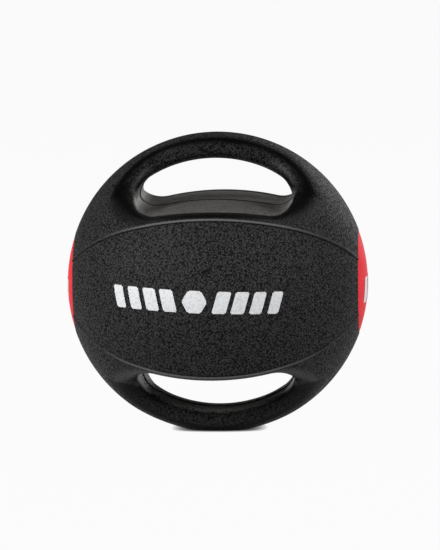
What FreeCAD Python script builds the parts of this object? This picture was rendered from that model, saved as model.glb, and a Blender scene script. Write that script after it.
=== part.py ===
"""Dual-grip rubber medicine ball, millimetres, +Z up.

X runs through the two red side caps, Y from the front panel to the rear panel
and Z through the two handles. The origin is the middle of the small flat on the
lower handle that the ball stands on.

The ball is built about its own centre, and every sub-part is lifted at the end.
"""

import FreeCAD, Part

import math
import os

import Sketcher
from FreeCAD import Placement, Rotation, Vector

X_AXIS = Vector(1, 0, 0)
Y_AXIS = Vector(0, 1, 0)
Z_AXIS = Vector(0, 0, 1)

# Driving dimensions in millimetres and degrees. Depths and heights are from the
# ball's centre unless the note says otherwise.
DIMENSIONS = {
    "ball_radius": (137.5, "outside of the rubber skin"),
    "rest_flat_depth": (2.3, "flattening of the lower handle where the ball stands"),
    "skin_thickness": (6.0, "outer rubber skins"),
    "wall_thickness": (10.0, "carcass wall under the skins"),
    "bladder_thickness": (2.5, "butyl liner inside the carcass"),
    "ballast_level": (-14.0, "surface of the settled sand"),
    "slot_floor_height": (75.4, "crown of the slot floor"),
    "slot_floor_radius": (276.0, "curve of the slot floor across the ball"),
    "slot_half_width": (70.8, "middle of the slot to its end wall"),
    "slot_corner_radius": (11.5, "rounding between slot floor and end wall"),
    "slot_lip_radius": (7.0, "rounding where a slot runs out through the sphere"),
    "handle_inner_radius": (115.4, "underside of the handle, from the Y axis"),
    "handle_depth": (48.0, "handle from front to rear"),
    "handle_flare_radius": (30.0, "spread of the handle into the shoulders"),
    "handle_flare_reach": (4.0, "how far past the end wall that spread is drawn"),
    "handle_edge_radius": (7.0, "rounding of the handle's underside edges"),
    "core_radius": (5.0, "stiffener bar inside the handle"),
    "core_sweep": (92.0, "arc of the stiffener bar, degrees"),
    "seam_angle": (30.25, "half angle of a centre panel about the X axis, degrees"),
    "cap_radius": (47.0, "round recess for a side cap"),
    "cap_seat": (123.0, "flat bottom of that recess"),
    "cap_gap": (0.3, "space around a cap in its recess"),
    "cap_inset": (1.0, "face of the cap below the skin"),
    "cap_edge_radius": (1.2, "rounding of the cap's rim"),
    "valve_head_radius": (7.0, "valve face in the rear panel"),
    "valve_stem_radius": (4.0, "valve stem through the carcass"),
    "valve_foot_radius": (12.0, "valve foot bonded into the bladder"),
    "valve_inset": (0.6, "valve face below the skin"),
    "needle_radius": (1.0, "needle hole of the valve"),
    "needle_depth": (14.0, "length of the needle hole"),
    "plug_radius": (12.0, "filler plug through the carcass and bladder"),
    "plug_head_radius": (18.0, "head of the filler plug"),
    "plug_head_thickness": (4.0, "head of the filler plug"),
}

SHEET = "Dimensions"
REACH = "1.25 * [ball_radius]"  # cutting tools end outside the ball
START, END, CENTRE = 1, 2, 3  # the Sketcher's numbers for the ends and middle of a curve
ORIGIN = (-1, START)
VERTICAL_AXIS = -2
SMOOTH_BEND = 1e-6  # pieces of an outline that turn less than this are tangent

doc = FreeCAD.newDocument("medicine_ball")
sheet = doc.addObject("Spreadsheet::Sheet", SHEET)
for row, (alias, (value, note)) in enumerate(DIMENSIONS.items(), start=1):
    sheet.set(f"A{row}", alias)
    sheet.set(f"B{row}", str(value))
    sheet.set(f"C{row}", note)
    sheet.setAlias(f"B{row}", alias)
doc.recompute()


# Sizes and formulas


def size(alias):
    """Value of a driving dimension."""
    return float(sheet.get(alias))


def linked(formula):
    """Formula with every [alias] turned into a reference to the sheet."""
    for name in DIMENSIONS:
        formula = formula.replace(f"[{name}]", f"{SHEET}.{name}")
    return formula


def worth(formula):
    """Value of a formula of [aliases], for a place that is set in code."""
    for name in DIMENSIONS:
        formula = formula.replace(f"[{name}]", f"({size(name)})")
    return float(FreeCAD.Units.Quantity(formula).Value)


def bind(item, formulas):
    """Bind properties of a document object to formulas of [aliases]."""
    for name, formula in formulas.items():
        item.setExpression(name, linked(formula))
    return item


# Primitives and booleans


def sphere(name, radius):
    """Ball about the centre, with its poles on the X axis and its seam line at the rear."""
    ball = doc.addObject("Part::Sphere", name)
    ball.Placement = Placement(Vector(), Rotation(Y_AXIS, Z_AXIS, X_AXIS))
    return bind(ball, {"Radius": radius})


def cylinder(name, axis, radius, start, length, height="0"):
    """Cylinder along axis, from start and as long as length, with its axis at a height."""
    rod = doc.addObject("Part::Cylinder", name)
    rod.Placement = Placement(axis * worth(start) + Z_AXIS * worth(height), Rotation(Z_AXIS, axis))
    return bind(rod, {"Radius": radius, "Height": length})


def sector(name, start_degrees, sweep):
    """Wedge about the X axis. Its angles run from the front up over the top."""
    wedge = doc.addObject("Part::Cylinder", name)
    start = math.radians(start_degrees)
    along = Vector(0, -math.cos(start), math.sin(start))
    across = Vector(0, math.sin(start), math.cos(start))
    wedge.Placement = Placement(X_AXIS * worth(REACH), Rotation(along, across, -X_AXIS))
    return bind(wedge, {"Radius": REACH, "Height": f"2 * {REACH}", "Angle": sweep})


def below(name, height):
    """Box that fills everything under a height."""
    box = doc.addObject("Part::Box", name)
    sides = {"Length": f"2 * {REACH}", "Width": f"2 * {REACH}", "Height": REACH}
    corner = {"x": f"-{REACH}", "y": f"-{REACH}", "z": f"{height} - {REACH}"}
    place = {f".Placement.Base.{axis}": formula for axis, formula in corner.items()}
    return bind(box, {**sides, **place})


def combine(kind, name, first, *others):
    """Boolean of document objects, one after another: Cut, Common or Fuse."""
    result = first
    for count, other in enumerate(others, start=1):
        step_name = name if count == len(others) else f"{name}_step_{count}"
        step = doc.addObject(f"Part::{kind}", step_name)
        step.Base = result
        step.Tool = other
        step.Refine = True
        result = step
    return result


def mirror_to_rear(name, source):
    """Mirror image of a front piece, behind the parting plane."""
    image = doc.addObject("Part::Mirroring", name)
    image.Source = source
    image.Normal = Y_AXIS
    return image


def fillet(name, base, radius, wanted):
    """Round the edges of base whose half-way point the test wanted accepts."""
    doc.recompute()
    rounded = doc.addObject("Part::Fillet", name)
    rounded.Base = base
    chosen = []
    for index, edge in enumerate(base.Shape.Edges, start=1):
        halfway = edge.valueAt((edge.FirstParameter + edge.LastParameter) / 2)
        if wanted(halfway):
            chosen.append((index, size(radius), size(radius)))
    rounded.Edges = chosen
    return rounded


# Sketched prisms


def new_sketch(body, name, plane_role):
    """Sketch on one of the body's own origin planes."""
    sketch = body.newObject("Sketcher::SketchObject", name)
    plane = next(item for item in body.Origin.OriginFeatures if item.Role == plane_role)
    sketch.AttachmentSupport = [(plane, "")]
    sketch.MapMode = "FlatFace"
    return sketch


def heading(start, target, centre, at_target):
    """Direction of travel along an outline's piece, at its start or at its target."""
    if centre is None:
        return (target - start).normalize()
    radial = (target if at_target else start) - centre
    leftward = (start - centre).cross(target - centre).z > 0
    return (Z_AXIS if leftward else -Z_AXIS).cross(radial).normalize()


def draw(sketch, stations):
    """Closed outline through stations (point, centre): an arc about centre, or a line.

    Pieces that meet smoothly are tangent. Returns each piece's index with its own
    numbers for the ends where the outline enters and leaves it.
    """
    pieces = []
    spans = []
    for (point, centre), (target, _) in zip(stations, stations[1:] + stations[:1]):
        spans.append((point, target, centre))
        if centre is None:
            pieces.append((sketch.addGeometry(Part.LineSegment(point, target), False), START, END))
            continue
        circle = Part.Circle(centre, Z_AXIS, (point - centre).Length)
        leftward = (point - centre).cross(target - centre).z > 0
        first, last = (point, target) if leftward else (target, point)
        curve = Part.ArcOfCircle(circle, circle.parameter(first), circle.parameter(last))
        ends = (START, END) if leftward else (END, START)
        pieces.append((sketch.addGeometry(curve, False), *ends))
    for number, (one, _, leave) in enumerate(pieces):
        following = (number + 1) % len(pieces)
        two, enter, _ = pieces[following]
        bend = heading(*spans[number], True).cross(heading(*spans[following], False)).Length
        kind = "Tangent" if bend < SMOOTH_BEND else "Coincident"
        sketch.addConstraint(Sketcher.Constraint(kind, one, leave, two, enter))
    return pieces


def dimension(sketch, formula, kind, *where):
    """Dimensional constraint whose value is bound to the sheet."""
    index = sketch.addConstraint(Sketcher.Constraint(kind, *where, worth(formula)))
    sketch.setExpression(f"Constraints[{index}]", linked(formula))


def mirrored(point):
    return Vector(-point.x, point.y)


def slot_stations(top):
    """Stations of a whole slot outline, closed by the stations of its top.

    The floor is an arc that is high in the middle, and a corner arc leads from
    it into each end wall.
    """
    floor_radius = size("slot_floor_radius")
    corner = size("slot_corner_radius")
    wall = size("slot_half_width")
    floor_centre = Vector(0, size("slot_floor_height") - floor_radius)
    reach = floor_radius + corner
    corner_centre = floor_centre + Vector(wall - corner, math.sqrt(reach**2 - (wall - corner) ** 2))
    foot = floor_centre + (corner_centre - floor_centre) * (floor_radius / reach)
    wall_foot = Vector(wall, corner_centre.y)
    return [
        (mirrored(foot), floor_centre),
        (foot, corner_centre),
        (wall_foot, None),
        *top,
        (mirrored(wall_foot), mirrored(corner_centre)),
    ]


def dimension_slot_floor(sketch, pieces):
    """Constraints that the two slot outlines have in common."""
    floor, right_corner, right_wall = pieces[:3]
    left_wall, left_corner = pieces[-2:]
    sketch.addConstraint(
        [
            Sketcher.Constraint("PointOnObject", floor[0], CENTRE, VERTICAL_AXIS),
            Sketcher.Constraint("Vertical", right_wall[0]),
            Sketcher.Constraint("Vertical", left_wall[0]),
            Sketcher.Constraint("Equal", right_corner[0], left_corner[0]),
        ]
    )
    sink = "[slot_floor_radius] - [slot_floor_height]"
    dimension(sketch, "[slot_floor_radius]", "Radius", floor[0])
    dimension(sketch, sink, "DistanceY", floor[0], CENTRE, *ORIGIN)
    dimension(sketch, "[slot_corner_radius]", "Radius", right_corner[0])
    dimension(sketch, "[slot_half_width]", "DistanceX", *ORIGIN, *right_wall[:2])
    dimension(sketch, "[slot_half_width]", "DistanceX", *left_wall[:2], *ORIGIN)


def prism(name, turn, plane_role, outline, symmetric):
    """Body with one pad of a sketched outline, turned about Y for the lower half."""
    body = doc.addObject("PartDesign::Body", name)
    body.Placement = Placement(Vector(), Rotation(Y_AXIS, turn))
    sketch = new_sketch(body, f"{name}_outline", plane_role)
    outline(sketch)
    pad = body.newObject("PartDesign::Pad", f"{name}_pad")
    pad.Profile = sketch
    pad.SideType = "Symmetric" if symmetric else "One side"
    bind(pad, {"Length": f"2 * {REACH}" if symmetric else REACH})
    return body


def tunnel_outline(sketch):
    """The hand hole itself, closed above by the underside of the handle."""
    wall = size("slot_half_width")
    wall_top = Vector(wall, math.sqrt(size("handle_inner_radius") ** 2 - wall**2))
    top = [(wall_top, Vector()), (mirrored(wall_top), None)]
    pieces = draw(sketch, slot_stations(top))
    dimension_slot_floor(sketch, pieces)
    underside = pieces[3][0]
    sketch.addConstraint(Sketcher.Constraint("Coincident", underside, CENTRE, *ORIGIN))
    dimension(sketch, "[handle_inner_radius]", "Radius", underside)


def open_outline(sketch):
    """The same slot without a handle, open at the top."""
    wall = size("slot_half_width")
    top_height = worth(REACH)
    top = [(Vector(wall, top_height), None), (Vector(-wall, top_height), None)]
    pieces = draw(sketch, slot_stations(top))
    dimension_slot_floor(sketch, pieces)
    lid = pieces[3]
    sketch.addConstraint(Sketcher.Constraint("Horizontal", lid[0]))
    dimension(sketch, REACH, "DistanceY", *ORIGIN, *lid[:2])


def handle_outline(sketch):
    """Plan of the handle: a straight bar that spreads in four arcs into the shoulders."""
    half_length = "[slot_half_width] + [handle_flare_reach]"
    wall = worth(half_length)
    side = size("handle_depth") / 2
    flare = size("handle_flare_radius")
    stations = []
    for x_sign, y_sign in ((1, -1), (1, 1), (-1, 1), (-1, -1)):
        centre = Vector(x_sign * (wall - flare), y_sign * (side + flare))
        at_bar = Vector(centre.x, y_sign * side)
        at_wall = Vector(x_sign * wall, centre.y)
        goes_to_wall = x_sign * y_sign < 0
        arc_start, arc_end = (at_bar, at_wall) if goes_to_wall else (at_wall, at_bar)
        stations += [(arc_start, centre), (arc_end, None)]
    pieces = draw(sketch, stations)
    arcs = [pieces[number][0] for number in (0, 2, 4, 6)]
    right, rear, left, front = (pieces[number] for number in (1, 3, 5, 7))
    for other in arcs[1:]:
        sketch.addConstraint(Sketcher.Constraint("Equal", arcs[0], other))
    for upright in (right, left):
        sketch.addConstraint(Sketcher.Constraint("Vertical", upright[0]))
    for level in (rear, front):
        sketch.addConstraint(Sketcher.Constraint("Horizontal", level[0]))
    dimension(sketch, "[handle_flare_radius]", "Radius", arcs[0])
    dimension(sketch, half_length, "DistanceX", *ORIGIN, *right[:2])
    dimension(sketch, half_length, "DistanceX", *left[:2], *ORIGIN)
    dimension(sketch, "[handle_depth] / 2", "DistanceY", *ORIGIN, *rear[:2])
    dimension(sketch, "[handle_depth] / 2", "DistanceY", *front[:2], *ORIGIN)


def slot_tool(side, turn):
    """What one hand slot removes: the tunnel, and the space beside the handle."""
    tunnel = prism(f"{side}_tunnel", turn, "XZ_Plane", tunnel_outline, symmetric=True)
    opening = prism(f"{side}_opening", turn, "XZ_Plane", open_outline, symmetric=True)
    bar = prism(f"{side}_bar_plan", turn, "XY_Plane", handle_outline, symmetric=False)
    beside = combine("Cut", f"{side}_beside_bar", opening, bar)
    return combine("Fuse", f"{side}_slot_tool", tunnel, beside)


# The whole outside, and the nested shapes inside it


def on_slot_rim(point):
    """True on the lines where a slot runs out through the sphere."""
    on_skin = abs(point.Length - size("ball_radius")) < 0.01
    return on_skin and abs(point.z) > size("ball_radius") / 5


def on_handle_underside(point):
    """True on the front and rear edges of a handle's underside."""
    from_y_axis = math.hypot(point.x, point.z)
    return abs(from_y_axis - size("handle_inner_radius")) < 0.05 and abs(point.y) > size("core_radius")


def ball_outside():
    """Sphere with two slots and their handles, edges rounded, with a flat to stand on."""
    blank = sphere("ball_blank", "[ball_radius]")
    slotted = combine("Cut", "slotted_ball", blank, slot_tool("upper", 0), slot_tool("lower", 180))
    lipped = fillet("lipped_ball", slotted, "slot_lip_radius", on_slot_rim)
    rounded = fillet("rounded_ball", lipped, "handle_edge_radius", on_handle_underside)
    return combine("Cut", "ball_solid", rounded, below("ground", "[rest_flat_depth] - [ball_radius]"))


def nested(name, depth, seat_depth):
    """Inside of the ball at a depth under its sphere and slot floors and cap seats."""
    inner_sphere = sphere(f"{name}_sphere", f"[ball_radius] - ({depth})")
    limits = []
    for side, sign in (("upper", ""), ("lower", "-")):
        floor = cylinder(
            f"{name}_{side}_floor",
            Y_AXIS,
            f"[slot_floor_radius] - ({depth})",
            f"-{REACH}",
            f"2 * {REACH}",
            f"{sign}1 * ([slot_floor_height] - [slot_floor_radius])",
        )
        limits.append(floor)
    seat = f"[cap_seat] - ({seat_depth})"
    seats = cylinder(f"{name}_seats", X_AXIS, "[ball_radius]", f"-1 * ({seat})", f"2 * ({seat})")
    return combine("Common", name, inner_sphere, *limits, seats)


def handle_core(side, centre_degrees):
    """Firm round bar along the middle of a handle."""
    bar = doc.addObject("Part::Torus", f"{side}_core_bar")
    start = math.radians(centre_degrees - size("core_sweep") / 2)
    along = Vector(math.cos(start), 0, math.sin(start))
    bar.Placement = Placement(Vector(), Rotation(along, -Y_AXIS.cross(along), -Y_AXIS))
    middle = "([ball_radius] + [handle_inner_radius]) / 2"
    return bind(bar, {"Radius1": middle, "Radius2": "[core_radius]", "Angle3": "[core_sweep]"})


def valve_envelope():
    """Outside of the needle valve, which the skin, carcass and bladder are cut to fit."""
    skin_inside = "([ball_radius] - [skin_thickness])"
    foot_outside = f"({skin_inside} - [wall_thickness])"
    head = cylinder("valve_head", Y_AXIS, "[valve_head_radius]", skin_inside, "[skin_thickness]")
    stem = cylinder("valve_stem", Y_AXIS, "[valve_stem_radius]", foot_outside, "[wall_thickness]")
    foot_start = f"{foot_outside} - [bladder_thickness]"
    foot = cylinder("valve_foot", Y_AXIS, "[valve_foot_radius]", foot_start, "[bladder_thickness]")
    return combine("Fuse", "valve_blank", head, stem, foot)


def valve_shape(envelope):
    """Needle valve: face, stem and foot in one piece, with a blind needle hole."""
    needle_start = "[ball_radius] - [needle_depth]"
    needle = cylinder("needle_hole", Y_AXIS, "[needle_radius]", needle_start, "[needle_depth]")
    face = sphere("valve_face", "[ball_radius] - [valve_inset]")
    trimmed = combine("Common", "trimmed_valve", envelope, face)
    return combine("Cut", "valve_shape", trimmed, needle)


def plug_shape():
    """Filler plug: a stem through carcass and bladder, and a head under the right cap."""
    stem_length = "[wall_thickness] + [bladder_thickness]"
    stem = cylinder("plug_stem", X_AXIS, "[plug_radius]", f"[cap_seat] - ({stem_length})", stem_length)
    head_start = "[cap_seat] - [plug_head_thickness]"
    head = cylinder("plug_head", X_AXIS, "[plug_head_radius]", head_start, "[plug_head_thickness]")
    return combine("Fuse", "plug_blank", stem, head)


def cap_shape(side, axis):
    """Red side cap: a disc with the ball's curve on its face and a rounded rim."""
    face = sphere(f"{side}_cap_face", "[ball_radius] - [cap_inset]")
    rim_radius = "[cap_radius] - [cap_gap]"
    disc = cylinder(f"{side}_cap_disc", axis, rim_radius, "[cap_seat]", "3 * [skin_thickness]")
    blank = combine("Common", f"{side}_cap_blank", face, disc)

    def on_rim(point):
        off_axis = math.hypot(point.y, point.z)
        on_wall = abs(off_axis - size("cap_radius") + size("cap_gap")) < 0.01
        return on_wall and abs(point.x) > size("cap_seat") + 1

    return fillet(f"{side}_cap_rounded", blank, "cap_edge_radius", on_rim)


def skin_shapes(skin):
    """Six skin pieces: the two centre panels and a front and a rear half of each grip."""
    beyond_seam = "90 - [seam_angle]"
    seam = size("seam_angle")
    shapes = {}
    for name, start, sweep in (
        ("front_panel", -seam, "2 * [seam_angle]"),
        ("upper_grip_front", seam, beyond_seam),
        ("rear_panel", 180 - seam, "2 * [seam_angle]"),
        ("lower_grip_front", 270, beyond_seam),
    ):
        wedge = sector(f"{name}_sector", start, sweep)
        shapes[name] = combine("Common", f"{name}_shape", skin, wedge)
    for side in ("upper", "lower"):
        front = shapes[f"{side}_grip_front"]
        shapes[f"{side}_grip_rear"] = mirror_to_rear(f"{side}_grip_rear_shape", front)
    return shapes


def build():
    """Shape of every sub-part about the ball's centre, by node name."""
    outside = ball_outside()
    wall_depth = "[skin_thickness] + [wall_thickness]"
    liner_depth = f"{wall_depth} + [bladder_thickness]"
    liner_seat = "[wall_thickness] + [bladder_thickness]"
    carcass_block = nested("carcass_block", "[skin_thickness]", "0")
    cavity = nested("carcass_cavity", wall_depth, "[wall_thickness]")
    liner_cavity = nested("bladder_cavity", liner_depth, liner_seat)
    cores = {"upper_handle_core": handle_core("upper", 90), "lower_handle_core": handle_core("lower", 270)}
    valve_outside = valve_envelope()
    plug = plug_shape()
    recesses = []
    for side, axis in (("left", -X_AXIS), ("right", X_AXIS)):
        length = f"{REACH} - [cap_seat]"
        recesses.append(cylinder(f"{side}_recess", axis, "[cap_radius]", "[cap_seat]", length))

    skin = combine("Cut", "skin", outside, carcass_block, *recesses, *cores.values(), valve_outside)
    carcass = combine("Cut", "carcass", carcass_block, cavity, valve_outside, plug)
    shapes = skin_shapes(skin)
    for side, axis in (("left", -X_AXIS), ("right", X_AXIS)):
        shapes[f"{side}_cap"] = cap_shape(side, axis)
    for name, start in (("carcass_front", -90), ("carcass_rear", 90)):
        half = sector(f"{name}_sector", start, "180")
        shapes[name] = combine("Common", f"{name}_shape", carcass, half)
    shapes.update(cores)
    shapes["bladder"] = combine("Cut", "bladder_shape", cavity, liner_cavity, valve_outside, plug)
    shapes["ballast"] = combine("Common", "ballast_shape", liner_cavity, below("sand", "[ballast_level]"))
    shapes["inflation_valve"] = valve_shape(valve_outside)
    shapes["filler_plug"] = plug
    return shapes


def finish(shapes):
    """Lift every shape onto the ground as a sub-part, check the document and write the files."""
    doc.recompute()
    nodes = []
    for name, shape in shapes.items():
        node = doc.addObject("Part::Compound", name)
        node.Links = [shape]
        bind(node, {".Placement.Base.z": "[ball_radius] - [rest_flat_depth]"})
        nodes.append(node)
    doc.recompute()
    for item in doc.Objects:
        if {"Invalid", "Error"} & set(item.State):
            raise RuntimeError(f"{item.Label} failed: {item.State}")
    for node in nodes:
        if node.Shape.isNull() or not node.Shape.isValid():
            raise RuntimeError(f"{node.Label} has no valid shape")
    os.makedirs("parts", exist_ok=True)
    for node in nodes:
        node.Shape.exportStep(f"parts/{node.Label}.step")
        print(f"{node.Label:20} {node.Shape.Volume / 1000:9.1f} cm3  solids {len(node.Shape.Solids)}")


finish(build())
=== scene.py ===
"""Looks of a dual-grip rubber medicine ball, in metres, in the frame of its CAD model.

X runs through the two red side caps, Y from the front panel to the rear panel and
Z through the two handles. The rubber skin is one moulding whose outside is the zero
level of a distance field. That surface is meshed, cut along its seams and parted into
the same pieces as the CAD model. Fields and outlines are about the ball's own centre.
"""

import math

import bmesh
import bpy
import numpy as np
import openvdb
from mathutils import Matrix, Vector


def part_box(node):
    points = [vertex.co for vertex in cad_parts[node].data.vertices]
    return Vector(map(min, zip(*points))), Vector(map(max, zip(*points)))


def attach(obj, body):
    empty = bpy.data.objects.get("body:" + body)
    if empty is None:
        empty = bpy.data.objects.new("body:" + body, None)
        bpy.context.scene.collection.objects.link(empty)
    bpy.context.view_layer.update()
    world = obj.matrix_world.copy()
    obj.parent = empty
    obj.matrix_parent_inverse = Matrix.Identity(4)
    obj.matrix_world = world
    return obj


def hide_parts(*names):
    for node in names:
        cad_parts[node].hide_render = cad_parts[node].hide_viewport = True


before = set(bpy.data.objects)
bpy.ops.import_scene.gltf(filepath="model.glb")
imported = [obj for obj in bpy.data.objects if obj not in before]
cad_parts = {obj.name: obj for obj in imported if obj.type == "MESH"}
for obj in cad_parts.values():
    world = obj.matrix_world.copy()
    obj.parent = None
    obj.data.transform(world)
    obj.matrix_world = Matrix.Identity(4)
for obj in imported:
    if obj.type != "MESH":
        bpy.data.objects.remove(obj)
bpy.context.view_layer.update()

MM = 0.001
BODY = "root"

# Sizes that the CAD model gives
RADIUS = -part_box("front_panel")[0].y
CENTRE = Vector((0.0, 0.0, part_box("upper_grip_front")[1].z - RADIUS))
CAP_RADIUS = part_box("right_cap")[1].y
CAP_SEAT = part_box("right_cap")[0].x
VALVE_RADIUS = 7.0 * MM
RECESS_EDGE = math.sqrt(RADIUS**2 - CAP_RADIUS**2)  # where the sphere meets a cap's recess
VALVE_EDGE = math.sqrt(RADIUS**2 - VALVE_RADIUS**2)
REST_DEPTH = CENTRE.z  # below the centre, where the ball stands on its flat

# Slot and handle, as the ball's outside has them
FLOOR_CROWN = 75.4 * MM  # slot floor above the centre
FLOOR_RADIUS = 276.0 * MM  # its curve across the ball
FLOOR_DRAFT = 0.0127  # its slope from the parting plane out to the lips
HALF_WIDTH = 72.4 * MM  # end wall of a slot
CORNER = 22.0 * MM  # between slot floor and end wall
HANDLE_INNER = 115.4 * MM  # underside of the handle, about the Y axis
HANDLE_HALF_DEPTH = 24.0 * MM
HANDLE_EDGE = 7.5 * MM  # rounding of the underside's edges
HANDLE_EDGE_FADE = 12.0 * MM  # that rounding is gone this far below the handle
SHARPEST = 0.1 * MM  # rounding where it is gone
HANDLE_CROOK = 12.0 * MM  # where the underside meets the end wall
FLARE = 30.0 * MM  # spread of the handle into the shoulders
FLOOR_LIP = 16.0 * MM  # where the floor rolls out through the sphere
HANDLE_LIP = 13.5 * MM  # the same rounding along the handle
LIP_START = 0.6  # share of the radius up the ball where the lip starts to change to HANDLE_LIP
LIP_CHANGE = 0.25  # and the share over which it changes
FILLET_COSINES = (-0.95, 0.995)  # beyond these a fillet has no size
TINY = 1e-9  # keeps a length of zero out of a division
PRESS_SOFTNESS = 0.3 * MM  # rounding at the edge of the flat

# Mesh
VOXEL = 1.5 * MM
GRADIENT_STEP = 0.1 * MM
CUT_SNAP = 0.03 * MM  # points this near a cut are taken as on it
SHARP_ANGLE = math.radians(50)
SKIN = 4.0 * MM  # thickness of the rubber pieces

# Joints between the pieces: heights above the surface at distances from the joint, in mm
SEAM_ANGLE = math.radians(30.25)
SEAM_GRIP = (
    (0.0, -1.1),
    (0.3, -0.35),
    (0.7, 0.3),
    (1.2, 0.7),
    (1.9, 0.75),
    (2.7, 0.4),
    (3.6, 0.0),
)
SEAM_RIDGE = 1.6 * MM  # top of the bead along a seam
SEAM_PANEL = ((0.0, -1.1), (0.3, -0.5), (0.7, -0.12), (1.1, 0.0))
FLASH = ((0.0, 0.9), (0.4, 0.85), (0.8, 0.35), (1.3, 0.0))  # fin along the parting line
FLASH_FADE = 8.0 * MM  # the flash is full this far below the sphere
OUTER_FLASH = 0.2  # and this share of it is left outside
RECESS_RIM = ((0.0, -0.9), (0.15, -0.5), (0.4, -0.2), (0.8, -0.03), (1.2, 0.0))

# Side caps
CAP_INSET = 0.3 * MM  # dome below the sphere
CAP_RIM = 1.2 * MM  # rounding of the dome's edge
CAP_CHAMFER = 0.5 * MM
CAP_SEGMENTS = 144
DOME_RINGS = 24
RIM_RINGS = 6

# The printed decoration
INK = 0.35 * MM  # half its thickness
PRINT_CORNER = 1.0 * MM
PRINT_CORNER_SEGMENTS = 4
PRINT_GRID = 2.0 * MM  # cuts that let a flat shape bend onto the ball
PRINT_SNAP = 0.001 * MM  # points this near a cut are taken as on it
FRONT_PRINT_HEIGHT = 19.5 * MM
FRONT_PRINT_LEAN = 5.0 * MM
FRONT_PRINT_TURNS = ((-5.4, "Z"), (2.0, "Y"), (-0.1, "X"))  # degrees
HEXAGON_RADIUS = 11.4 * MM
BAR_WIDTHS = (12.4 * MM, 12.0 * MM, 11.0 * MM, 10.0 * MM)  # from the middle out
FIRST_BAR = 24.0 * MM  # its middle, from the hexagon's
BAR_PITCH = 16.2 * MM
CAP_BAR = (12.5 * MM, 23.0 * MM, 4.0 * MM)  # width, height and lean
CAP_BAR_PITCH = 20.5 * MM
CAP_PRINT_DROP = 4.8 * MM

# Where the rubber's finish changes. Depth is below the sphere, level is the distance from
# the centre's own level, and reach is the distance from the Z axis with X stretched.
SMOOTH_DEPTH = (0.4 * MM, 2.5 * MM)  # from outer grain to the smooth lips, whose colour is also darkened as painted shade
HANDLE_LEVEL = (92 * MM, 104 * MM)
HANDLE_FACE_DEPTH = (4 * MM, 7 * MM)  # grain comes back on the handle's faces
HANDLE_FACE_GRAIN = 0.65
DUST_AND_SHEEN_LEVEL = (83 * MM, 91 * MM)  # no dust and no painted sheen over this
DUST_AND_SHEEN_REACH = (96 * MM, 91 * MM)
REACH_STRETCH = 1.12
DUST_AND_SHEEN_DEPTH = (3 * MM, 6 * MM)
ALL_DUST_AND_SHEEN_DEPTH = (17 * MM, 20.5 * MM)
SEAM_HIGHLIGHT_X = (55 * MM, 100 * MM)  # the painted highlight on the bead fades towards the caps
SEAM_HIGHLIGHT_END = 0.12
SEAM_HIGHLIGHT_WIDTH = (0.6 * MM, 1.4 * MM)
FLASH_WIDTH = (0.8 * MM, 1.4 * MM)
FLASH_STRENGTH = 0.9

# Stage
FLOOR_REACH = 16.0
FLOOR_GLOW = 0.952
WORLD_GLOW = 0.958
HORIZON = 0.06  # height of a unit direction at which the surroundings are dim
CONTACT_SHADOW = 5.0 * MM  # gap under the ball where the painted contact shadow starts
SOFTBOX_DISTANCE = 2.6


# Distance fields, negative inside the rubber


def rounded(a, b, radius, cosine=0.0):
    """Common part of two solids, with a true fillet on the edge between them."""
    near_a, near_b = a + radius, b + radius
    on_fillet = (near_a > cosine * near_b) & (near_b > cosine * near_a)
    squared = near_a**2 + near_b**2 - 2 * near_a * near_b * cosine
    fillet = np.sqrt(np.maximum(squared, 0) / (1 - cosine**2)) - radius
    return np.where(on_fillet, fillet, np.maximum(a, b))


def ease(share):
    """Smooth step from 0 to 1."""
    share = np.clip(share, 0, 1)
    return share**2 * (3 - 2 * share)


def slope(field, x, y, z):
    """Gradient of a field, by central differences."""
    d = GRADIENT_STEP
    along_x = field(x + d, y, z) - field(x - d, y, z)
    along_y = field(x, y + d, z) - field(x, y - d, z)
    along_z = field(x, y, z + d) - field(x, y, z - d)
    return np.stack([along_x, along_y, along_z]) / (2 * d)


def cosine_between(first, second):
    """Cosine between two gradients, kept away from the ends where a fillet has no size."""
    product = np.sum(first * second, axis=0)
    lengths = np.linalg.norm(first, axis=0) * np.linalg.norm(second, axis=0)
    return np.clip(product / np.maximum(lengths, TINY), *FILLET_COSINES)


def sphere(x, y, z):
    return np.sqrt(x**2 + y**2 + z**2) - RADIUS


def over_floor(x, y, z):
    """Space over a slot floor."""
    height = np.abs(z) + FLOOR_DRAFT * np.abs(y) - FLOOR_CROWN + FLOOR_RADIUS
    return FLOOR_RADIUS - np.hypot(x, height)


def under_handle(x, z):
    """Space inside the underside of a handle."""
    return np.hypot(x, z) - HANDLE_INNER


def beside_handle(x, y, z):
    """Space in front of and behind a handle, which spreads into the end walls."""
    plan = rounded(np.abs(x) - HALF_WIDTH, HANDLE_HALF_DEPTH - np.abs(y), FLARE)
    return rounded(over_floor(x, y, z), plan, CORNER)


def tunnel(x, y, z):
    """Hand hole, closed by the underside of the handle."""
    between_walls = rounded(over_floor(x, y, z), np.abs(x) - HALF_WIDTH, CORNER)
    return rounded(between_walls, under_handle(x, z), HANDLE_CROOK)


def lipped(x, y, z):
    """Ball without the space beside its handles, with rounded lips."""
    ball, space = sphere(x, y, z), beside_handle(x, y, z)
    outward = np.stack([x, y, z])
    turn = cosine_between(outward, -slope(beside_handle, x, y, z))
    up_handle = ease((np.abs(z) / RADIUS - LIP_START) / LIP_CHANGE)
    lip = FLOOR_LIP + (HANDLE_LIP - FLOOR_LIP) * up_handle
    return rounded(ball, -space, lip, turn)


def outside(x, y, z):
    """The whole ball."""
    turn = cosine_between(slope(lipped, x, y, z), -slope(tunnel, x, y, z))
    at_handle = ease(1 + under_handle(x, z) / HANDLE_EDGE_FADE)
    edge = SHARPEST + (HANDLE_EDGE - SHARPEST) * at_handle
    return rounded(lipped(x, y, z), -tunnel(x, y, z), edge, turn)


# The moulding's surface


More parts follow.
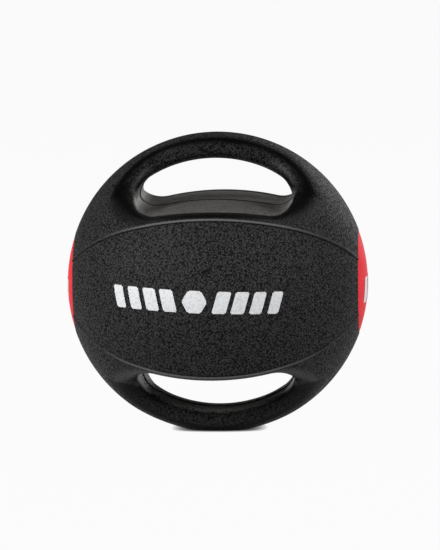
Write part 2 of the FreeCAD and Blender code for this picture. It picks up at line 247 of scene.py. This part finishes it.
def mesh_surface():
    """Points and quads of the outside. One octant is worked out and mirrored."""
    count = math.ceil(RADIUS / VOXEL) + 3
    axis = np.arange(count) * VOXEL
    octant = outside(*np.meshgrid(axis, axis, axis, indexing="ij"))
    fold = np.abs(np.arange(1 - count, count))
    grid = openvdb.FloatGrid(VOXEL * 3)
    grid.copyFromArray(octant[np.ix_(fold, fold, fold)].astype(np.float32))
    points, quads = grid.convertToQuads(isovalue=0.0)
    return (points.astype(float) - (count - 1)) * VOXEL, quads


def settle(points, rounds):
    """Points moved onto the exact surface, and their outward normals."""
    for _ in range(rounds):
        gradient = slope(outside, *points.T)
        points = points - (outside(*points.T) * gradient / np.sum(gradient**2, axis=0)).T
    gradient = slope(outside, *points.T)
    return points, (gradient / np.linalg.norm(gradient, axis=0)).T


def cut_row(surface, normal, offset):
    """Row of edges where the surface crosses a plane."""
    normal = Vector(normal)
    reach = 2 * VOXEL
    faces = [f for f in surface.faces if abs(f.calc_center_median().dot(normal) - offset) < reach]
    edges = {e for f in faces for e in f.edges}
    corners = {v for f in faces for v in f.verts}
    bmesh.ops.bisect_plane(
        surface,
        geom=[*faces, *edges, *corners],
        dist=CUT_SNAP,
        plane_co=normal * offset,
        plane_no=normal,
    )


def both_ways(profile):
    """Distances of a joint's rows, on both sides of it."""
    distances = [at * MM for at, _ in profile]
    return sorted({sign * at for at in distances for sign in (-1, 1)})


def cut_joints(surface):
    """Rows of edges along every joint, so that its rounded edges have real shape."""
    across = math.cos(SEAM_ANGLE)
    for side in (-1, 1):
        seam_normal = (0, side * math.sin(SEAM_ANGLE), across)
        for offset in both_ways(SEAM_GRIP):
            cut_row(surface, seam_normal, offset)
        for at, _ in RECESS_RIM:
            cut_row(surface, (side, 0, 0), RECESS_EDGE - at * MM * CAP_RADIUS / RADIUS)
    for offset in both_ways(FLASH):
        cut_row(surface, (0, 1, 0), offset)
    for at, _ in RECESS_RIM:
        cut_row(surface, (0, 1, 0), VALVE_EDGE - at * MM * VALVE_RADIUS / RADIUS)


def profile_height(profile, distance):
    """Height of a joint's profile at distances from the joint."""
    at, height = zip(*profile)
    return np.interp(distance, np.array(at) * MM, np.array(height) * MM)


def past_seam(y, z):
    """Distance past the seam planes, positive on the grips."""
    return np.abs(z) * math.cos(SEAM_ANGLE) - np.abs(y) * math.sin(SEAM_ANGLE)


def joint_height(points):
    """How far each point of the surface stands out or sinks in at a joint."""
    x, y, z = points.T
    seam = past_seam(y, z)
    in_slot = ease(-sphere(x, y, z) / FLASH_FADE)
    flash = profile_height(FLASH, np.abs(y)) * (OUTER_FLASH + (1 - OUTER_FLASH) * in_slot)
    height = np.where(
        seam > 0,
        profile_height(SEAM_GRIP, seam) + flash,
        profile_height(SEAM_PANEL, -seam),
    )
    to_recess = (RECESS_EDGE - np.abs(x)) * RADIUS / CAP_RADIUS
    to_valve = (VALVE_EDGE - y) * RADIUS / VALVE_RADIUS
    height += profile_height(RECESS_RIM, np.maximum(to_recess, 0))
    return height + profile_height(RECESS_RIM, np.maximum(to_valve, 0))


def press_flat(points):
    """Lowest points of the ball pressed level where it stands."""
    above = (points[:, 2] + REST_DEPTH) / PRESS_SOFTNESS
    points[:, 2] = PRESS_SOFTNESS * np.logaddexp(0, above) - REST_DEPTH
    return points


def piece_name(centre):
    """Piece that a part of the surface belongs to, or None in a recess."""
    x, y, z = centre
    if abs(x) > RECESS_EDGE or y > VALVE_EDGE:
        return None
    end = "front" if y < 0 else "rear"
    if past_seam(y, z) < 0:
        return f"{end}_panel"
    return f"{'upper' if z > 0 else 'lower'}_grip_{end}"


def new_piece(name, vertices, faces, material, slot, *nodes):
    """Smooth object about the ball's centre that stands for some CAD nodes."""
    mesh = bpy.data.meshes.new(name)
    mesh.from_pydata([Vector(v) + CENTRE for v in vertices], [], faces)
    mesh.validate()
    mesh.polygons.foreach_set("use_smooth", [True] * len(mesh.polygons))
    mesh.set_sharp_from_angle(angle=SHARP_ANGLE)
    mesh.materials.append(material)
    piece = bpy.data.objects.new(name, mesh)
    bpy.context.scene.collection.objects.link(piece)
    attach(piece, BODY)
    if nodes:
        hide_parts(*nodes)


def close_skin(outer, inner, faces):
    """Vertices and faces of a closed skin between two matching surfaces."""
    used = sorted({corner for face in faces for corner in face})
    order = {old: new for new, old in enumerate(used)}
    shift = len(used)
    top = [tuple(order[corner] for corner in face) for face in faces]
    bottom = [tuple(corner + shift for corner in reversed(face)) for face in top]
    edges = {(a, b) for face in top for a, b in zip(face, face[1:] + face[:1])}
    rim = [(b, a, a + shift, b + shift) for a, b in edges if (b, a) not in edges]
    return np.concatenate([outer[used], inner[used]]), top + bottom + sorted(rim)


def skin_pieces(material):
    """The six rubber pieces of the outside."""
    points, quads = mesh_surface()
    points, _ = settle(points, 2)
    mesh = bpy.data.meshes.new("moulding")
    mesh.from_pydata(points, [], quads.tolist())
    surface = bmesh.new()
    surface.from_mesh(mesh)
    cut_joints(surface)
    surface.to_mesh(mesh)
    surface.free()
    points = np.array([v.co for v in mesh.vertices])
    points, normals = settle(points, 1)
    outer = press_flat(points + normals * joint_height(points)[:, None])
    inner = points - normals * SKIN
    groups = {}
    for face in mesh.polygons:
        name = piece_name(face.center)
        groups.setdefault(name, []).append(tuple(face.vertices))
    bpy.data.meshes.remove(mesh)
    for name, faces in sorted((n, f) for n, f in groups.items() if n):
        new_piece(f"{name}_skin", *close_skin(outer, inner, faces), material, "black_rubber", name)


# Side caps and printed decoration


def heading(across, up):
    """Unit vector at angles to the right of the front, -Y, and up."""
    level = math.cos(up)
    return Vector((math.sin(across) * level, -math.cos(across) * level, math.sin(up)))


def lathe(profile, segments):
    """Solid turned about the X axis. The profile's (x, radius) ends are on the axis."""
    start, *rings, end = profile
    vertices = [(start[0], 0, 0)]
    for x, radius in rings:
        for step in range(segments):
            angle = 2 * math.pi * step / segments
            vertices.append((x, radius * math.cos(angle), radius * math.sin(angle)))
    vertices.append((end[0], 0, 0))
    faces = []
    for step in range(segments):
        after = (step + 1) % segments
        faces.append((0, 1 + step, 1 + after))
        for ring in range(len(rings) - 1):
            near, far = 1 + ring * segments, 1 + (ring + 1) * segments
            faces.append((near + step, far + step, far + after, near + after))
        last = 1 + (len(rings) - 1) * segments
        faces.append((last + step, len(vertices) - 1, last + after))
    return vertices, faces


def mirror_x(vertices, faces):
    """The same solid on the other side of the ball."""
    return [(-x, y, z) for x, y, z in vertices], [tuple(reversed(face)) for face in faces]


def cap_profile():
    """Domed face, rounded rim and side wall of a cap."""
    dome = RADIUS - CAP_INSET
    rim_centre_radius = CAP_RADIUS - CAP_RIM
    rim_centre_x = math.sqrt((dome - CAP_RIM) ** 2 - rim_centre_radius**2)
    rim_start = math.atan2(rim_centre_radius, rim_centre_x)
    profile = [(dome, 0.0)]
    for step in range(1, DOME_RINGS + 1):
        angle = rim_start * step / DOME_RINGS
        profile.append((dome * math.cos(angle), dome * math.sin(angle)))
    for step in range(1, RIM_RINGS + 1):
        angle = rim_start + (math.pi / 2 - rim_start) * step / RIM_RINGS
        along = rim_centre_x + CAP_RIM * math.cos(angle)
        profile.append((along, rim_centre_radius + CAP_RIM * math.sin(angle)))
    profile.append((CAP_SEAT + CAP_CHAMFER, CAP_RADIUS))
    profile.append((CAP_SEAT, CAP_RADIUS - CAP_CHAMFER))
    profile.append((CAP_SEAT, 0.0))
    return profile


def side_caps(material):
    """Red disc in the recess of each side."""
    vertices, faces = lathe(cap_profile(), CAP_SEGMENTS)
    new_piece("right_cap_disc", vertices, faces, material, "red_rubber", "right_cap")
    new_piece("left_cap_disc", *mirror_x(vertices, faces), material, "red_rubber", "left_cap")


def slanted_bar(middle, width, height, lean):
    """Corners of a bar that leans sideways by lean at its top."""
    half, rise = width / 2, height / 2
    return [
        (middle - half - lean / 2, -rise),
        (middle + half - lean / 2, -rise),
        (middle + half + lean / 2, rise),
        (middle - half + lean / 2, rise),
    ]


def hexagon(radius):
    corners = [math.radians(60 * step) for step in range(6)]
    return [(radius * math.cos(a), radius * math.sin(a)) for a in corners]


def printed_shape(outline, place, dome):
    """Thin closed patch of ink with softened corners, wrapped onto a dome."""
    flat = bmesh.new()
    flat.faces.new([flat.verts.new((u, v, 0)) for u, v in outline])
    bmesh.ops.bevel(
        flat,
        geom=flat.verts[:],
        offset=PRINT_CORNER,
        segments=PRINT_CORNER_SEGMENTS,
        affect="VERTICES",
    )
    for axis in (Vector((1, 0, 0)), Vector((0, 1, 0))):
        reach = [v.co.dot(axis) for v in flat.verts]
        for offset in np.arange(min(reach) + PRINT_GRID, max(reach), PRINT_GRID):
            bmesh.ops.bisect_plane(
                flat,
                geom=[*flat.verts, *flat.edges, *flat.faces],
                dist=PRINT_SNAP,
                plane_co=axis * offset,
                plane_no=axis,
            )
    flat.verts.index_update()
    rays = [place @ heading(v.co.x / RADIUS, v.co.y / RADIUS) for v in flat.verts]
    faces = [tuple(v.index for v in face.verts) for face in flat.faces]
    flat.free()
    top = np.array([ray * (dome + INK) for ray in rays])
    back = np.array([ray * (dome - INK) for ray in rays])
    return close_skin(top, back, faces)


def joined(parts):
    """Several (vertices, faces) as one."""
    vertices, faces = [], []
    for part_vertices, part_faces in parts:
        shift = len(vertices)
        vertices += [tuple(v) for v in part_vertices]
        faces += [tuple(corner + shift for corner in face) for face in part_faces]
    return vertices, faces


def front_print(material):
    """Hexagon between two rows of leaning bars, across the front panel."""
    outlines = [hexagon(HEXAGON_RADIUS)]
    for side in (-1, 1):
        for step, width in enumerate(BAR_WIDTHS):
            middle = side * (FIRST_BAR + BAR_PITCH * step)
            lean = side * FRONT_PRINT_LEAN
            outlines.append(slanted_bar(middle, width, FRONT_PRINT_HEIGHT, lean))
    place = Matrix.Identity(3)
    for degrees, axis in FRONT_PRINT_TURNS:
        place = place @ Matrix.Rotation(math.radians(degrees), 3, axis)
    shapes = [printed_shape(outline, place, RADIUS) for outline in outlines]
    new_piece("front_print", *joined(shapes), material, None)


def cap_prints(material):
    """Three leaning bars on each cap."""
    dome = RADIUS - CAP_INSET
    for side, turn in (("right", 90), ("left", -90)):
        place = Matrix.Rotation(math.radians(turn), 3, "Z")
        shapes = []
        for step in (-1, 0, 1):
            outline = slanted_bar(step * CAP_BAR_PITCH, *CAP_BAR)
            outline = [(u, v - CAP_PRINT_DROP) for u, v in outline]
            shapes.append(printed_shape(outline, place, dome))
        new_piece(f"{side}_cap_print", *joined(shapes), material, None)


# Materials


class Nodes:
    """Node tree of a material, with short calls for what these materials use."""

    def __init__(self, name):
        self.material = bpy.data.materials.new(name)
        self.material.use_nodes = True
        self.tree = self.material.node_tree
        self.shader = self.tree.nodes["Principled BSDF"]
        self.place = self.add("ShaderNodeTexCoord").outputs["Object"]

    def add(self, kind, inputs=None, **settings):
        node = self.tree.nodes.new(kind)
        for name, value in settings.items():
            setattr(node, name, value)
        for name, value in (inputs or {}).items():
            self.put(node.inputs[name], value)
        return node

    def put(self, socket, value):
        if isinstance(value, bpy.types.NodeSocket):
            self.tree.links.new(value, socket)
        else:
            socket.default_value = value

    def noise(self, size, detail=2.0, roughness=0.5):
        """Noise whose features are about this size."""
        settings = {"Scale": 1 / size, "Detail": detail, "Roughness": roughness}
        node = self.add("ShaderNodeTexNoise", {"Vector": self.place, **settings})
        return node.outputs["Fac"]

    def pebbles(self, size, wobble):
        """Pebbles of about this size, 1 at their tops, whose outlines wander this far."""
        push = self.add("ShaderNodeTexNoise", {"Vector": self.place, "Scale": 1 / size, "Detail": 1.0})
        shifted = self.vector("SUBTRACT", {0: push.outputs["Color"], 1: (0.5, 0.5, 0.5)})
        scaled = self.vector("SCALE", {0: shifted, "Scale": wobble})
        moved = self.vector("ADD", {0: self.place, 1: scaled})
        settings = {"Vector": moved, "Scale": 1 / size}
        node = self.add("ShaderNodeTexVoronoi", settings, feature="SMOOTH_F1")
        return self.remap(node.outputs["Distance"], (0.1, 0.75), (1.0, 0.0))

    def remap(self, value, limits, results):
        """Value that goes from the first result to the second between the limits."""
        settings = {"From Min": limits[0], "From Max": limits[1]}
        settings.update({"To Min": results[0], "To Max": results[1]})
        return self.add("ShaderNodeMapRange", {"Value": value, **settings}).outputs["Result"]

    def rise(self, value, limits, top=1.0):
        """Share that is 0 at the first limit and the top at the second."""
        return self.remap(value, limits, (0.0, top))

    def math(self, operation, first, second=0.0):
        """Result of an operation on one or two numbers."""
        return self.add("ShaderNodeMath", {0: first, 1: second}, operation=operation).outputs[0]

    def vector(self, operation, inputs):
        """Result of an operation on vectors."""
        return self.add("ShaderNodeVectorMath", inputs, operation=operation).outputs[0]

    def about(self, point):
        """Coordinates about a point of the object's own space."""
        offset = self.vector("SUBTRACT", {0: self.place, 1: point})
        return self.add("ShaderNodeSeparateXYZ", {0: offset}).outputs

    def hypotenuse(self, first, second):
        """Length of the diagonal of two numbers."""
        squares = [self.math("MULTIPLY", value, value) for value in (first, second)]
        return self.math("SQRT", self.math("ADD", *squares))

    def mix(self, share, first, second):
        """Colour that goes from the first to the second."""
        node = self.add("ShaderNodeMix", data_type="RGBA")
        for at, value in ((0, share), (6, first), (7, second)):
            self.put(node.inputs[at], value)
        return node.outputs[2]

    def ramp(self, value, *stops):
        """Colour at a value, from (position, colour) stops."""
        node = self.add("ShaderNodeValToRGB", {"Fac": value})
        while len(node.color_ramp.elements) < len(stops):
            node.color_ramp.elements.new(0.5)
        for element, (position, color) in zip(node.color_ramp.elements, stops):
            element.position = position
            element.color = (*color, 1.0)
        return node.outputs["Color"]

    def bump(self, height, depth):
        """Bump whose height from 0 to 1 is this deep."""
        node = self.add("ShaderNodeBump", {"Height": height, "Distance": depth, "Strength": 1.0})
        return node.outputs["Normal"]

    def finish(self, **inputs):
        """The material, with these values at its shader."""
        names = {"color": "Base Color", "roughness": "Roughness", "normal": "Normal"}
        names["specular"] = "Specular IOR Level"
        for name, value in inputs.items():
            self.put(self.shader.inputs[names[name]], value)
        return self.material


def black_finishes(nodes, x, y, level):
    """Shares of smooth rubber, which is also darkened as painted shade, of grain that is back on a
    handle's faces, and of dust with painted sheen.
    """
    depth = nodes.math("SUBTRACT", RADIUS, nodes.hypotenuse(nodes.hypotenuse(x, y), level))
    smooth = nodes.rise(depth, SMOOTH_DEPTH)
    reach = nodes.hypotenuse(nodes.math("MULTIPLY", x, REACH_STRETCH), y)
    # Dust and painted sheen fill the slots below the handles
    below_handle = nodes.math("SUBTRACT", 1.0, nodes.rise(level, DUST_AND_SHEEN_LEVEL))
    in_plan = nodes.math("MULTIPLY", below_handle, nodes.rise(reach, DUST_AND_SHEEN_REACH))
    past_lip = nodes.math("MULTIPLY", in_plan, nodes.rise(depth, DUST_AND_SHEEN_DEPTH))
    dust_and_sheen = nodes.math("MAXIMUM", past_lip, nodes.rise(depth, ALL_DUST_AND_SHEEN_DEPTH))
    handle_face = nodes.rise(depth, HANDLE_FACE_DEPTH, HANDLE_FACE_GRAIN)
    return smooth, nodes.math("MULTIPLY", nodes.rise(level, HANDLE_LEVEL), handle_face), dust_and_sheen


def painted_seam_highlight(nodes, x, across, level):
    """Painted highlight: a grey line along the top of the bead on a seam, fading towards the caps."""
    up = nodes.math("MULTIPLY", level, math.cos(SEAM_ANGLE))
    out = nodes.math("MULTIPLY", across, math.sin(SEAM_ANGLE))
    from_ridge = nodes.math("SUBTRACT", nodes.math("SUBTRACT", up, out), SEAM_RIDGE)
    from_ridge = nodes.math("ABSOLUTE", from_ridge)
    highlight_fade = nodes.remap(nodes.math("ABSOLUTE", x), SEAM_HIGHLIGHT_X, (1.0, SEAM_HIGHLIGHT_END))
    return nodes.math("MULTIPLY", highlight_fade, nodes.remap(from_ridge, SEAM_HIGHLIGHT_WIDTH, (1.0, 0.0)))


def grained_rubber():
    """Near-black moulded rubber: grained outside, smooth on the lips with painted shade, with dust and
    painted sheen in the slots, and a painted highlight on the seam beads.
    """
    nodes = Nodes("grained_rubber")
    x, y, z = nodes.about(CENTRE)
    level, across = nodes.math("ABSOLUTE", z), nodes.math("ABSOLUTE", y)
    smooth, handle_grain, dust_and_sheen = black_finishes(nodes, x, y, level)
    bead = painted_seam_highlight(nodes, x, across, level)
    # Near-black line along the parting fin: a dark joint, deepened as painted shade
    flash_joint_and_shade = nodes.remap(across, FLASH_WIDTH, (FLASH_STRENGTH, 0.0))

    height = nodes.math("MULTIPLY", nodes.pebbles(1.5 * MM, 0.7 * MM), nodes.noise(0.9 * MM, 2.0, 0.6))
    grained = nodes.ramp(height, (0.12, (0.0015, 0.0015, 0.0015)), (0.55, (0.028, 0.0266, 0.0274)))
    # Colour of the smooth lips: smooth black rubber, darkened further as painted shade
    smooth_and_painted_shade = nodes.ramp(height, (0.12, (0.0004, 0.0004, 0.0004)), (0.55, (0.0022, 0.0022, 0.0022)))
    # Lighter colour in the slots: partly dust, partly painted sheen of the bright surroundings on the
    # slot floors and walls
    dust_and_sheen_color = nodes.ramp(height, (0.1, (0.022, 0.021, 0.0195)), (0.5, (0.115, 0.112, 0.106)))
    worn = nodes.remap(height, (0.1, 0.5), (0.7, 0.42))
    relief = nodes.math("MULTIPLY", height, nodes.remap(smooth, (0.0, 1.0), (1.0, 0.5)))

    # The smooth lips take the darker painted-shade colour, except on the handles' faces
    black = nodes.mix(nodes.math("SUBTRACT", smooth, handle_grain), grained, smooth_and_painted_shade)
    # The grey on the seam beads is a painted highlight
    color = nodes.mix(bead, nodes.mix(dust_and_sheen, black, dust_and_sheen_color), (0.055, 0.053, 0.055, 1.0))
    return nodes.finish(
        color=nodes.mix(flash_joint_and_shade, color, (0.0004, 0.0004, 0.0004, 1.0)),
        roughness=nodes.math("MULTIPLY", worn, nodes.remap(smooth, (0.0, 1.0), (1.0, 0.6))),
        specular=0.05,
        normal=nodes.bump(relief, 0.6 * MM),
    )


def satin_red():
    """Satin red rubber of the caps, a little mottled."""
    nodes = Nodes("satin_red")
    mottled = nodes.noise(14 * MM, 3.0)
    return nodes.finish(
        color=nodes.ramp(mottled, (0.3, (0.34, 0.0075, 0.013)), (0.7, (0.40, 0.0105, 0.0175))),
        roughness=nodes.remap(nodes.noise(5 * MM), (0.3, 0.7), (0.5, 0.6)),
        specular=0.05,
        normal=nodes.bump(nodes.noise(1.1 * MM, 2.0), 0.03 * MM),
    )


def white_ink():
    """Opaque screen print, which shows the grain under it."""
    nodes = Nodes("white_ink")
    grain = nodes.pebbles(1.9 * MM, 0.9 * MM)
    return nodes.finish(
        color=nodes.ramp(grain, (0.1, (0.27, 0.276, 0.284)), (0.6, (0.335, 0.341, 0.350))),
        roughness=nodes.remap(nodes.noise(4 * MM), (0.3, 0.7), (0.45, 0.6)),
        normal=nodes.bump(grain, 0.08 * MM),
    )


def plain_rubber(name, dark, light, grain):
    """Matt rubber of a hidden piece."""
    nodes = Nodes(name)
    return nodes.finish(
        color=nodes.ramp(nodes.noise(9 * MM, 3.0), (0.3, dark), (0.7, light)),
        roughness=nodes.remap(nodes.noise(3 * MM), (0.3, 0.7), (0.55, 0.75)),
        normal=nodes.bump(nodes.noise(grain, 2.0), 0.1 * MM),
    )


def hidden_materials():
    """Materials of the CAD pieces that stay as they are."""
    carcass = plain_rubber("carcass_rubber", (0.03, 0.03, 0.032), (0.05, 0.05, 0.053), 2 * MM)
    butyl = plain_rubber("butyl", (0.012, 0.012, 0.013), (0.022, 0.022, 0.024), 1 * MM)
    sand = plain_rubber("sand", (0.36, 0.29, 0.2), (0.52, 0.44, 0.33), 0.6 * MM)
    core = plain_rubber("core_plastic", (0.09, 0.09, 0.1), (0.13, 0.13, 0.14), 1.5 * MM)
    chosen = {
        "carcass_front": carcass,
        "carcass_rear": carcass,
        "filler_plug": carcass,
        "bladder": butyl,
        "inflation_valve": butyl,
        "ballast": sand,
        "upper_handle_core": core,
        "lower_handle_core": core,
    }
    for name, material in chosen.items():
        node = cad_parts[name]
        node.data.materials.clear()
        node.data.materials.append(material)


# Camera, floor and light


def add_camera():
    """Long lens, a little above the ball and to its right."""
    distance = 2.996
    roll = math.radians(-0.70)
    back = heading(math.radians(3.39), math.radians(7.48))
    data = bpy.data.cameras.new("camera")
    data.lens = 214.3
    data.shift_x, data.shift_y = 0.0039, 0.0125
    camera = bpy.data.objects.new("camera", data)
    turn = back.to_track_quat("Z", "Y").to_matrix() @ Matrix.Rotation(roll, 3, "Z")
    camera.matrix_world = Matrix.Translation(CENTRE + back * distance) @ turn.to_4x4()
    bpy.context.scene.collection.objects.link(camera)
    bpy.context.scene.camera = camera


def add_floor():
    """Pale glowing floor that reaches to the horizon, whose glow is darkened close under the ball as a
    painted contact shadow.
    """
    reach = FLOOR_REACH
    corners = [(-reach, -reach, 0), (reach, -reach, 0), (reach, reach, 0), (-reach, reach, 0)]
    mesh = bpy.data.meshes.new("floor")
    mesh.from_pydata(corners, [], [(0, 1, 2, 3)])
    nodes = Nodes("floor")
    material = nodes.finish(color=(0.01, 0.01, 0.01, 1.0), roughness=0.9, specular=0.0)
    # Ambient occlusion darkens the floor's glow close under the ball: a painted contact shadow
    painted_contact_shadow = nodes.add("ShaderNodeAmbientOcclusion", {"Distance": CONTACT_SHADOW})
    nodes.put(nodes.shader.inputs["Emission Color"], painted_contact_shadow.outputs["Color"])
    nodes.put(nodes.shader.inputs["Emission Strength"], FLOOR_GLOW)
    mesh.materials.append(material)
    floor = bpy.data.objects.new("floor", mesh)
    bpy.context.scene.collection.objects.link(floor)


def add_softbox(name, azimuth, elevation, size, power):
    """Round softbox that faces the ball, this many degrees right of the front and up."""
    towards = heading(math.radians(azimuth), math.radians(elevation))
    data = bpy.data.lights.new(name, "AREA")
    data.shape = "DISK"
    data.size = size
    data.energy = power
    lamp = bpy.data.objects.new(name, data)
    lamp.location = CENTRE + towards * SOFTBOX_DISTANCE
    lamp.rotation_euler = towards.to_track_quat("Z", "Y").to_euler()
    bpy.context.scene.collection.objects.link(lamp)


def add_world():
    """Surroundings that are pale up to the horizon and dim over it."""
    world = bpy.data.worlds.new("world")
    world.use_nodes = True
    bpy.context.scene.world = world
    tree = world.node_tree
    background = tree.nodes["Background"]
    place = tree.nodes.new("ShaderNodeTexCoord")
    parts = tree.nodes.new("ShaderNodeSeparateXYZ")
    shade = tree.nodes.new("ShaderNodeValToRGB")
    low, high = shade.color_ramp.elements
    low.position, high.position = 0.0, HORIZON
    low.color = (1.0, 1.0, 1.0, 1.0)
    high.color = (0.02, 0.02, 0.02, 1.0)
    tree.links.new(place.outputs["Generated"], parts.inputs[0])
    tree.links.new(parts.outputs["Z"], shade.inputs["Fac"])
    tree.links.new(shade.outputs["Color"], background.inputs["Color"])
    background.inputs["Strength"].default_value = WORLD_GLOW


skin_pieces(grained_rubber())
side_caps(satin_red())
ink = white_ink()
front_print(ink)
cap_prints(ink)
hidden_materials()

add_camera()
add_floor()
add_world()
add_softbox("key_light", -52, 24, 1.1, 135)
add_softbox("right_light", 62, 26, 1.3, 92)
add_softbox("right_rim_light", 152, 15, 1.3, 15)
add_softbox("back_light", 135, 42, 1.5, 26)
add_softbox("left_rim_light", -135, 40, 1.5, 8)
bpy.context.scene.view_settings.view_transform = "Standard"
